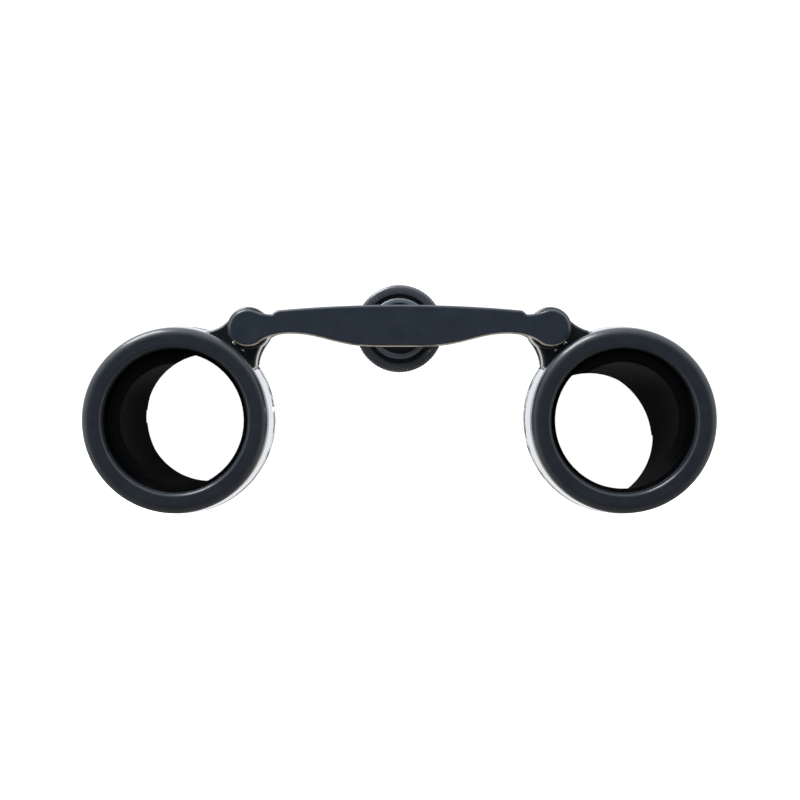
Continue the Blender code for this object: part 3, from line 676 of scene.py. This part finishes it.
def make_wheel():
    """Focusing wheel: a knurled rim and a deep well round its hub, with a raised collar in front."""
    _, journal, hub_back = span("focus_wheel")
    radius, front, back = WHEEL_RIM
    rim = [(radius - RIM_EDGE, front + 0.06, 0.12), (radius, front + 0.45, 0.1)]
    stretch = back - front - 1.2
    rim += [(radius, front + 0.6 + stretch * step / RIM_STEPS, 0.0) for step in range(RIM_STEPS + 1)]
    rim += [(radius, back - 0.45, 0.1), (radius - RIM_EDGE, back - 0.06, 0.12)]
    hub_front = [(0.0, journal), (JOURNAL_RADIUS, journal, 0.15), (JOURNAL_RADIUS, HUB_FRONT, 0.0),
                 (HUB_RADIUS, HUB_FRONT, 0.15), (HUB_RADIUS, WELL_FLOOR, 0.2)]
    well = [(WELL_RADIUS, WELL_FLOOR, 0.15), (WELL_RADIUS, front + 0.22, 0.12), (RIM_INSIDE, front, 0.3)]
    rear_well = [(RIM_INSIDE, back, 0.3), (WELL_RADIUS, back - 0.1, 0.1),
                 (WELL_RADIUS, REAR_WELL_FLOOR, 0.1)]
    hub_rear = [(HUB_RADIUS, REAR_WELL_FLOOR, 0.2), (HUB_RADIUS, hub_back, 0.1), (HUB_BORE, hub_back, 0.05),
                (HUB_BORE, HUB_BORE_FRONT, 0.0), (0.0, HUB_BORE_FRONT)]
    profile = hub_front + well + rim + rear_well + hub_rear
    fine("focus_wheel", profile, TEETH * 6, WHEEL, warp=knurl, look=WHEEL_LOOK)
    outer, front, back = span("wheel_collar")
    collar = [(COLLAR_INSIDE, front, 0.32), (outer, front, 0.45), (outer, back, 0.05),
              (COLLAR_INSIDE, back, 0.05)]
    fine("wheel_collar", collar, FINE, WHEEL)


def make_screw():
    """Focusing screw with its shoulder, the nut in the eyepiece bar and the spindle's bush."""
    _, front, back = span("focus_screw")
    thread = [(SCREW_RADIUS, front + THREAD_STEP * step, 0.0) for step in range(1, THREAD_STEPS + 1)]
    shoulder_front, shoulder_back = SHOULDER_DEPTHS
    screw = [(0.0, front, 0.0), (SCREW_RADIUS - 0.15, front, 0.0), *thread,
             (SCREW_RADIUS, shoulder_front, 0.0), (SHOULDER_RADIUS, shoulder_front, 0.15),
             (SHOULDER_RADIUS, shoulder_back, 0.15), (SCREW_RADIUS, shoulder_back, 0.0),
             (SCREW_RADIUS, back, 0.2), (0.0, back)]
    fine("focus_screw", screw, SMALL, WHEEL, warp=screw_thread)
    outer, front, back = span("screw_nut")
    hexagon = [(outer * cos(pi / 3 * side), outer * sin(pi / 3 * side), 0.12) for side in range(6)]
    nut = slab("screw_nut_fine", soften(hexagon, 0.12), (front, back), 0.22, WHEEL)
    combine(nut, [drill("hole", WHEEL, NUT_BORE, (front, back), 0.1)], "DIFFERENCE")
    dress(nut, "screw_nut")
    plain("spindle_bush", SPINDLE_BORE, MEDIUM, WHEEL, 0.15)


# ---------------------------------------------------------------- barrels

LUG_HALF_TOP, LUG_HALF_FOOT = 3.4, 4.8  # half widths of the web at the pin and at the sleeve
LUG_BEND = 2.4                  # how far down the web its sides stay parallel
LUG_WEB = (6.9, 16.0)
BOSS_RADIUS, BOSS_DEPTHS = 3.6, (6.5, 16.4)
BOSS_BORE = 1.35
PIN_END_GAP, PIN_END_HOLE = 0.06, 8.9  # room round the two small pin ends, and how deep they sit
SLEEVE_BORE, SLEEVE_WALL = 15.3, 0.7
SLEEVE_LIP = 0.7                # closed front edge ahead of the sleeve's slot
BEAD = 0.18                     # height of the sleeve's rear bead
HOUSING_RADIUS, HOUSING_BORE, BORE_END = 15.0, 13.9, 19.5
FLANGE = (21.1, 22.1)
REAR_CONE, REAR_BORE = 13.2, 11.5
LAND_HALF, SLOT_HALF = 5.0, 5.15  # the land on the housing, and the slot that it fills
SLOT_FOOT = 8.0                 # where the slot's cutter ends, inside the sleeve's bore
LAND_FRONT, LAND_BACK = 6.5, 21.7
LAND_BASE = 14.45               # inside the housing's wall


def lug_outline(half_top, half_foot, barrel, reach):
    """A hinge lug in its own plane: the pin at (0, 0) and the barrel axis straight down.

    Its sides flare until they meet a barrel of this radius, and go on straight to reach.
    """
    foot = PIN_TO_AXIS - sqrt(barrel ** 2 - half_foot ** 2)
    side = bezier([(half_top, 0.0), (half_top, -LUG_BEND), (half_foot, -foot)], 14)
    side.append((half_foot, -reach))
    top = arc((0.0, 0.0), half_top, pi, 0.0, 40)
    return join(top, side, [(-x, y) for x, y in reversed(side)])[:-1]


def about_axis(word, points):
    """Points of a lug's plane turned to x and z about the barrel axis."""
    side = SIDES[word]
    across = abs(AXIS[word][0] - PIN[word][0]) / MM / PIN_TO_AXIS
    up = (PIN[word][1] - AXIS[word][1]) / MM / PIN_TO_AXIS
    result = []
    for x, y in points:
        reach = y + PIN_TO_AXIS
        result.append((side * (x * up - reach * across), x * across + reach * up))
    return result


def blacken(piece, chosen):
    """Flat black on the faces a test picks by their reach and by how far they face outwards and back."""
    piece.data.materials.append(LOOKS["inside_black"])
    for face in piece.data.polygons:
        reach = Vector((face.center.x, 0.0, face.center.z))
        if chosen(reach.length / MM, face.normal.dot(reach.normalized()), face.normal.y):
            face.material_index = 1


def swell(wide, front):
    """Outline of the polished sleeve where it swells from its front edge to its full radius."""
    full = wide - BEAD
    return bezier([(full - 0.4, front), (full - 0.05, front + 4.0), (full, front + 9.0)], 24)


def make_housing(word):
    """Cast housing with its rear cone, the land in the sleeve's slot and the hinge lug."""
    spot, node = AXIS[word], "barrel_housing_" + word
    wide, sleeve_front, _ = span("chrome_sleeve_" + word)
    _, front, back = span(node)
    profile = [(HOUSING_BORE, front), (HOUSING_RADIUS, front), (HOUSING_RADIUS, FLANGE[0]),
               (wide, FLANGE[0], 0.18), (wide, FLANGE[1], 0.3), (REAR_CONE, back, 0.4),
               (REAR_BORE, back, 0.12), (REAR_BORE, BORE_END), (HOUSING_BORE, BORE_END)]
    housing = turned(node + "_fine", soften(profile, 0.1), FINE, spot)
    low, high = LAND_BASE - 0.9 - PIN_TO_AXIS, wide + 0.5 - PIN_TO_AXIS
    outline = [(LAND_HALF, high), (-LAND_HALF, high), (-LAND_HALF, low), (LAND_HALF, low)]
    land = slab("land", about_axis(word, outline), (LAND_FRONT, LAND_BACK), 0.0, spot)
    behind = LAND_BACK + 0.1
    inside = join([(0.0, sleeve_front)], swell(wide, sleeve_front), [(wide - BEAD, behind), (0.0, behind)])
    combine(land, [turned("inside", inside, FINE, spot)], "INTERSECT")
    outline = lug_outline(LUG_HALF_TOP, LUG_HALF_FOOT, wide, PIN_TO_AXIS - LAND_BASE + 0.5)
    web = slab("web", about_axis(word, outline), LUG_WEB, 0.5, spot)
    front, back = BOSS_DEPTHS
    profile = [(0.0, front), (BOSS_RADIUS, front, 0.7), (BOSS_RADIUS, back, 0.35), (0.0, back)]
    boss = turned("boss", soften(profile, 0.3, False), MEDIUM, PIN[word])
    combine(housing, [land, web, boss], "UNION")
    tools = [drill("bore", PIN[word], BOSS_BORE, BOSS_DEPTHS, 0.15)]
    for label in ("stop_pin_", "lug_pin_"):
        radius = span(label + word)[0] + PIN_END_GAP
        tools.append(drill(label, middle(label + word), radius, (front - 0.5, PIN_END_HOLE), 0.0, SMALL))
    combine(housing, tools, "DIFFERENCE")
    # its darker black is painted shade
    dress(housing, node, 36.0, HOUSING_SHADE_LOOK)
    blacken(housing, lambda reach, outwards, back: reach < HOUSING_BORE + 0.3 and outwards <= 0.2)


def uneven_bead(radius, depth, angle):
    """The sleeve's rear bead, rolled a little higher in some places than in others."""
    low = SLEEVE_BORE + SLEEVE_WALL - BEAD
    if radius <= low:
        return radius
    waves = sin(5 * angle + 0.6) * sin(13 * angle) + 0.6 * sin(31 * angle + 1.3) * sin(7 * angle)
    return low + (radius - low) * min(max(0.75 + 0.5 * waves, 0.15), 1.0)


def make_sleeve(word):
    """Polished sleeve, drawn in towards its front edge and slotted past the hinge lug."""
    node, spot = "chrome_sleeve_" + word, AXIS[word]
    wide, front, back = span(node)
    bead = bezier([(wide - BEAD, back - 1.2), (wide, back - 1.1), (wide, back - 0.8)], 6)
    tail = [(wide, back - 0.8, 0.0), (wide, back, 0.2), (SLEEVE_BORE, back, 0.1), (SLEEVE_BORE, front)]
    profile = join(swell(wide, front), bead, soften(tail, 0.1, False))
    sleeve = turned(node + "_fine", profile, FINE, spot, uneven_bead)
    foot = SLOT_FOOT - PIN_TO_AXIS
    slot = about_axis(word, [(-SLOT_HALF, 0.0), (SLOT_HALF, 0.0), (SLOT_HALF, foot), (-SLOT_HALF, foot)])
    depths = (front + SLEEVE_LIP, back + OVERRUN)
    combine(sleeve, [slab("slot", soften(slot, 0.5), depths, 0.0, spot)], "DIFFERENCE")
    dress(sleeve, node, 36.0)


def make_lug_pins(word):
    """The two small pin ends in the front of the web."""
    for label in ("stop_pin_", "lug_pin_"):
        node = label + word
        radius, front, back = span(node)
        dome = bezier([(0.0, front), (radius * 0.8, front), (radius, front + 0.2)], 6)
        profile = [(*point, 0.0) for point in dome] + [(radius, back, 0.0), (0.0, back)]
        fine(node, profile, TINY, middle(node))


RING_ROUND = 1.5                # rounding of the ring's outer front edge
RING_BACK = 5.2
RING_MOUTH, CLEAR_RADIUS = 12.04, 11.3  # the ring's mouth, and the edge in front of the lens
SHOULDER_BACK = 4.1             # what the lens lies against
SKIRT_RADIUS, LENS_BORE = 13.55, 12.85
RETAINER_BORE, EYE_RETAINER_BORE = 11.6, 4.5
OBJECTIVE_CURVE, OBJECTIVE_CONIC = 28.0, -0.4
EYE_CURVE = 17.0
LENS_STEPS = 28

# How far back the front and rear face of each objective lean for each unit of height
LENS_LEAN = {"left": (0.0, 0.0), "right": (-0.023, 0.046)}
LENS_ROOM = 0.3                 # between the objective and its retainer


def make_objective(word):
    """Objective ring, lens and retainer."""
    spot = AXIS[word]
    radius, _, back = span("objective_ring_" + word)
    outer_edge = arc((radius - RING_ROUND, RING_ROUND), RING_ROUND, -pi / 2, 0.0, 14)
    face = [(RING_MOUTH, 0.45, 0.25), (RING_MOUTH + 0.46, 0.0, 0.25)]
    face += [(*point, 0.0) for point in outer_edge]
    skirt = [(radius, RING_BACK, 0.15), (SKIRT_RADIUS, RING_BACK, 0.1), (SKIRT_RADIUS, back, 0.1),
             (LENS_BORE, back, 0.1), (LENS_BORE, SHOULDER_BACK, 0.05), (CLEAR_RADIUS, SHOULDER_BACK, 0.02)]
    mouth = [(CLEAR_RADIUS, 3.45, 0.02), (CLEAR_RADIUS + 0.25, 3.05, 0.04), (RING_MOUTH - 0.12, 3.0, 0.05),
             (RING_MOUTH - 0.06, 1.6, 0.02), (RING_MOUTH, 1.58, 0.02)]
    ring = fine("objective_ring_" + word, face + skirt + mouth, FINE, spot)
    blacken(ring, lambda reach, outwards, back: reach < RING_MOUTH - 0.14 and outwards <= 0.2)
    objective_lens(word, spot)
    spanner_ring("objective_retainer_" + word, spot, RETAINER_BORE, width=1.2)


def sags(curve, radius, conic=0.0):
    """(reach, sag) points of a polished face from its middle to its rim."""
    points = []
    for step in range(LENS_STEPS + 1):
        reach = radius * step / LENS_STEPS
        root = sqrt(1.0 - (1.0 + conic) * (reach / curve) ** 2)
        points.append((reach, reach ** 2 / (curve * (1.0 + root))))
    return points


def objective_lens(word, spot):
    """Convex in front and flat behind, the front slightly aspheric so that the view stays round.

    The right lens is a little thicker at its top, and the eyepiece seen through it sits lower.
    """
    node = "objective_lens_" + word
    radius, front, back = span(node)
    lean_front, lean_back = LENS_LEAN[word]
    back -= max(0.0, lean_back * radius - LENS_ROOM)
    near = [(reach, front + sag) for reach, sag in sags(OBJECTIVE_CURVE, radius, OBJECTIVE_CONIC)]
    far = [(radius * (1.0 - step / LENS_STEPS), back) for step in range(LENS_STEPS + 1)]
    lens = turned(node + "_fine", near + far, FINE, spot)
    for vertex in lens.data.vertices:
        behind = vertex.co.y > (back - 0.1) * MM
        vertex.co.y += vertex.co.z * (lean_back if behind else lean_front)
    dress(lens, node, 30.0)


def eye_lens(word, spot):
    """The eye lens, hollow on both faces."""
    node = "eye_lens_" + word
    radius, front, back = span(node)
    curve = sags(EYE_CURVE, radius)
    rim = curve[-1][1]
    near = [(reach, front + rim - sag) for reach, sag in curve]
    far = [(reach, back - rim + sag) for reach, sag in curve]
    dress(turned(node + "_fine", near + far[::-1], FINE, spot), node, 30.0)


def spanner_ring(node, spot, inner, width):
    """A keeper ring with two spanner slots of a width in its rear face."""
    outer, front, back = span(node)
    profile = soften([(inner, front), (outer, front), (outer, back), (inner, back, 0.12)], 0.08)
    keeper = turned(node + "_fine", profile, MEDIUM, spot)
    tools = []
    for side in SIDES.values():
        near, far = side * (inner - OVERRUN), side * (outer + OVERRUN)
        block = [(near, -width / 2), (far, -width / 2), (far, width / 2), (near, width / 2)]
        tools.append(slab("slot", block, (back - 0.5, back + 0.5), 0.0, spot))
    combine(keeper, tools, "DIFFERENCE")
    dress(keeper, node)


# ---------------------------------------------------------------- eyepieces

ARM_HALF_TOP, ARM_HALF_FOOT = 3.3, 4.4  # half widths of the arm at the pin and at its foot
ARM_FLARE = 16.0                # it flares as a lug on a barrel of this radius
ARM_FOOT = 9.0                  # from the tube's axis to the foot, inside the collar
COLLAR_RADIUS, COLLAR_BORE = 12.0, 10.06
ARM_PIN_BORE = 2.2
CLAMP_FOOT, CLAMP_TOP = 10.3, 13.1  # clamp screw, from the tube's axis
CLAMP_SHANK, CLAMP_HEAD, CLAMP_HEAD_HEIGHT = 0.6, 1.15, 0.8
TUBE_BORE, GUIDE_BORE = 9.1, 10.12
CELL_FLANGE, CELL_BORE, CELL_NECK, CELL_NECK_FRONT = 8.0, 5.3, 7.0, 42.5
STOP_RADIUS, STOP_DEPTHS = 4.06, (39.6, 40.05)
CUP_BORE, CUP_HOLE = 10.04, 7.04  # eyecup round the tube and round the cell's neck
CUP_WALL = (42.8, 43.8)
CUP_ROUND = 0.8


def make_arm(word):
    """The arm with its collar round the draw tube."""
    node, spot = "ocular_arm_" + word, AXIS[word]
    _, front, back = span(node)
    profile = [(0.0, front), (COLLAR_RADIUS, front, 0.45), (COLLAR_RADIUS, back, 0.45), (0.0, back)]
    arm = turned(node + "_fine", soften(profile, 0.3, False), FINE, spot)
    outline = lug_outline(ARM_HALF_TOP, ARM_HALF_FOOT, ARM_FLARE, PIN_TO_AXIS - ARM_FOOT)
    web = slab("web", about_axis(word, outline), (front, back), 0.42, spot)
    combine(arm, [web], "UNION")
    tools = [drill("bore", spot, COLLAR_BORE, (front, back), 0.15, FINE),
             drill("pin_bore", PIN[word], ARM_PIN_BORE, (front, back), 0.15)]
    combine(arm, tools, "DIFFERENCE")
    dress(arm, node, 36.0)


def make_collar_screw(word):
    """Clamp screw in the collar: a slotted cheese head on a short shank."""
    node = "collar_screw_" + word
    low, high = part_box(node)
    place = (low + high) / 2
    axis = Vector((AXIS[word][0], place.y, AXIS[word][1]))
    away = (place - axis).normalized()
    neck = CLAMP_TOP - CLAMP_HEAD_HEIGHT
    profile = [(0.0, CLAMP_FOOT), (CLAMP_SHANK, CLAMP_FOOT, 0.1), (CLAMP_SHANK, neck, 0.0),
               (CLAMP_HEAD, neck, 0.1), (CLAMP_HEAD, CLAMP_TOP, 0.25), (0.0, CLAMP_TOP)]
    screw = turned(node + "_fine", soften(profile, 0.1, False), SMALL, (0.0, 0.0))
    slot = [(-1.5, -0.14), (1.5, -0.14), (1.5, 0.14), (-1.5, 0.14)]
    combine(screw, [slab("slot", slot, (CLAMP_TOP - 0.35, CLAMP_TOP + 0.5))], "DIFFERENCE")
    turn = away.to_track_quat("Y", "Z").to_matrix().to_4x4()
    screw.matrix_world = Matrix.Translation(axis) @ turn
    dress(screw, node)


def eyecup_profile():
    """Sleeve over the tube that flares to a rounded rim and a shallow dish."""
    radius, front, back = span("eyecup_left")
    rim = arc((radius - CUP_ROUND, back - CUP_ROUND), CUP_ROUND, 0.0, pi, 24)
    flare = bezier([(CUP_BORE + 1.56, front + 3.0), (CUP_BORE + 1.76, front + 6.0), (radius, front + 7.0),
                    (radius, back - CUP_ROUND)], 30)
    dish = bezier([rim[-1], (10.6, CUP_WALL[1]), (9.0, CUP_WALL[1])], 16)
    head = [(CUP_BORE, front, 0.15), (CUP_BORE + 1.2, front, 0.25), (CUP_BORE + 1.46, front + 0.5, 0.1)]
    groove = [(CUP_BORE + 1.5, front + 1.6, 0.06), (CUP_BORE + 1.25, front + 1.75, 0.06),
              (CUP_BORE + 1.25, front + 2.15, 0.06), (CUP_BORE + 1.52, front + 2.3, 0.06)]
    smooth = [(*point, 0.0) for point in join(flare, rim, dish)]
    tail = [(CUP_HOLE, CUP_WALL[1], 0.2), (CUP_HOLE, CUP_WALL[0], 0.1), (CUP_BORE, CUP_WALL[0], 0.1)]
    return head + groove + smooth + tail


def make_eyepiece(word):
    """Draw tube, guide bush, cell, eye lens, keeper and eyecup."""
    spot = AXIS[word]
    outer, front, back = span("guide_bush_" + word)
    bush = [(GUIDE_BORE, front), (outer, front), (outer, back), (GUIDE_BORE, back, 0.2)]
    fine("guide_bush_" + word, bush, FINE, spot)
    tube = plain("ocular_tube_" + word, TUBE_BORE, FINE, spot, 0.15, LOOKS["ring_black"])
    blacken(tube, lambda reach, outwards, back: reach < TUBE_BORE + 0.6 and outwards <= 0.2)
    outer, front, back = span("eye_cell_" + word)
    profile = [(CELL_FLANGE, front), (outer, front), (outer, CELL_NECK_FRONT), (CELL_NECK, CELL_NECK_FRONT),
               (CELL_NECK, back, 0.25), (CELL_BORE, back, 0.15), (CELL_BORE, STOP_DEPTHS[1], 0.05),
               (STOP_RADIUS, STOP_DEPTHS[1], 0.04), (STOP_RADIUS, STOP_DEPTHS[0], 0.04)]
    cell = fine("eye_cell_" + word, profile, FINE, spot, look=LOOKS["ring_black"])
    blacken(cell, lambda reach, outwards, back: back < 0.5)
    eye_lens(word, spot)
    spanner_ring("eye_retainer_" + word, spot, EYE_RETAINER_BORE, width=0.8)
    fine("eyecup_" + word, eyecup_profile(), FINE, spot)


# ---------------------------------------------------------------- stage

VIEW_ANGLE = 12.70              # degrees
CAMERA_DISTANCE = 593.0         # to the front of the objective rings
CAMERA_SIDE, CAMERA_HEIGHT = 0.1, 19.4  # nearly in the middle plane
FLOOR_HALF = 6.0                # metres
FLOOR_ROOM = 1.0                # below the objective rings at the lowest point of their swing


def make_camera():
    """Straight in front of the glasses, level with the middle of their height."""
    data = bpy.data.cameras.new("camera")
    camera = in_scene("camera", data)
    data.sensor_width = 36.0
    data.lens = data.sensor_width / 2 / tan(radians(VIEW_ANGLE) / 2)
    data.clip_start, data.clip_end = 0.01, 20.0
    camera.location = (CAMERA_SIDE * MM, FRONT - CAMERA_DISTANCE * MM, CAMERA_HEIGHT * MM)
    camera.rotation_euler = (pi / 2, 0.0, 0.0)
    bpy.context.scene.camera = camera


def make_world():
    """White to the eye, with a soft studio gradient in what lights the object and what it reflects."""
    world = bpy.data.worlds.new("studio")
    bpy.context.scene.world = world
    world.use_nodes = True
    world.node_tree.nodes.clear()
    nodes = Nodes(world.node_tree)
    split = nodes.add("SeparateXYZ")
    nodes.put(nodes.add("TexCoord").outputs["Generated"], split.inputs[0])
    along, up = split.outputs[1], split.outputs[2]

    def ramp(socket, *limits):
        """A value moved smoothly from one range to another."""
        return nodes.remap(socket, *limits, curve="SMOOTHSTEP")

    # The light is dimmest in front; a reflection is nearly dark there, and darker below
    top = ramp(up, 0.25, 0.85, 0.0, 0.35)
    lit = nodes.math("ADD", ramp(along, -0.6, 0.6, 0.42, 0.95), top)
    mirrored = nodes.math("ADD", ramp(along, -0.9, -0.2, 0.05, 0.88), top)
    mirrored = nodes.math("MULTIPLY", mirrored, ramp(up, -0.8, -0.1, 0.30, 1.0))
    path = nodes.add("LightPath")
    glow = nodes.add("Mix")
    for index, socket in ((0, path.outputs["Is Glossy Ray"]), (2, lit), (3, mirrored)):
        nodes.put(socket, glow.inputs[index])
    soft = nodes.add("Background")
    nodes.put(glow.outputs[0], soft.inputs["Strength"])
    tint = nodes.mix(ramp(up, -0.45, 0.05, 0.0, 1.0), (1.0, 0.95, 0.90), (0.93, 0.96, 1.0))
    nodes.put(tint, soft.inputs["Color"])

    # The camera sees white, also through the lenses where they look behind the object
    white = nodes.add("Background")
    nodes.put((1.0, 1.0, 1.0, 1.0), white.inputs["Color"])
    nodes.put(1.2, white.inputs["Strength"])
    behind = ramp(along, 0.0, 0.2, 0.0, 1.0)
    through = nodes.math("MULTIPLY", path.outputs["Is Transmission Ray"], behind)
    seen = nodes.math("MAXIMUM", path.outputs["Is Camera Ray"], through)
    choose = nodes.add("MixShader")
    for index, socket in enumerate((seen, soft.outputs[0], white.outputs[0])):
        nodes.put(socket, choose.inputs[index])
    nodes.put(choose.outputs[0], nodes.add("OutputWorld").inputs[0])


def softbox(name, place, target, size, power):
    """A rectangular soft light aimed at a point."""
    data = bpy.data.lights.new(name, "AREA")
    data.shape = "RECTANGLE"
    data.size, data.size_y = size
    data.energy = power
    light = in_scene(name, data)
    light.location = place
    light.rotation_euler = (Vector(target) - Vector(place)).to_track_quat("-Z", "Y").to_euler()
    return light


def make_floor():
    """A plain, almost self-lit pale floor, just clear of the barrels at the lowest point of their swing."""
    reach = PIN_TO_AXIS + span("objective_ring_left")[0] + FLOOR_ROOM
    height = PIN["left"][1] - reach * MM
    corners = [(-1.0, -1.0), (1.0, -1.0), (1.0, 1.0), (-1.0, 1.0)]
    verts = [(FLOOR_HALF * x, FLOOR_HALF * y, height) for x, y in corners]
    floor = mesh_object("floor", verts, [(0, 1, 2, 3)], (0.0, 0.0, 0.0))
    look = Look("look_floor")
    tone = look.mix(look.noise(3.0, 2.0), (0.90, 0.90, 0.90), (0.94, 0.94, 0.94))
    look.shader.inputs["Emission Color"].default_value = (1.0, 1.0, 1.0, 1.0)
    look.shader.inputs["Emission Strength"].default_value = 0.97
    look.shader.inputs["Specular IOR Level"].default_value = 0.0
    floor.data.materials.append(look.finish(tone, 0.9, []))
    floor.visible_diffuse = floor.visible_glossy = floor.visible_transmission = floor.visible_shadow = False


def make_stage():
    """Camera, floor, world and lights, and the plain view transform."""
    make_camera()
    make_floor()
    make_world()
    centre = (0.0, 0.0, 0.025)
    softbox("overhead_softbox", (-0.26, -0.04, 0.55), centre, (0.40, 0.26), 3.0)
    key = softbox("front_key", (-0.35, -0.75, 0.55), centre, (0.30, 0.30), 5.0)
    key.visible_glossy = key.visible_transmission = False
    bpy.context.scene.view_settings.view_transform = "Standard"


# ---------------------------------------------------------------- assembly

make_stage()
make_bridges()
make_wheel()
make_screw()
for side_word in SIDES:
    make_hinge(side_word)
    make_housing(side_word)
    make_sleeve(side_word)
    make_lug_pins(side_word)
    make_objective(side_word)
    make_arm(side_word)
    make_eyepiece(side_word)
    make_collar_screw(side_word)
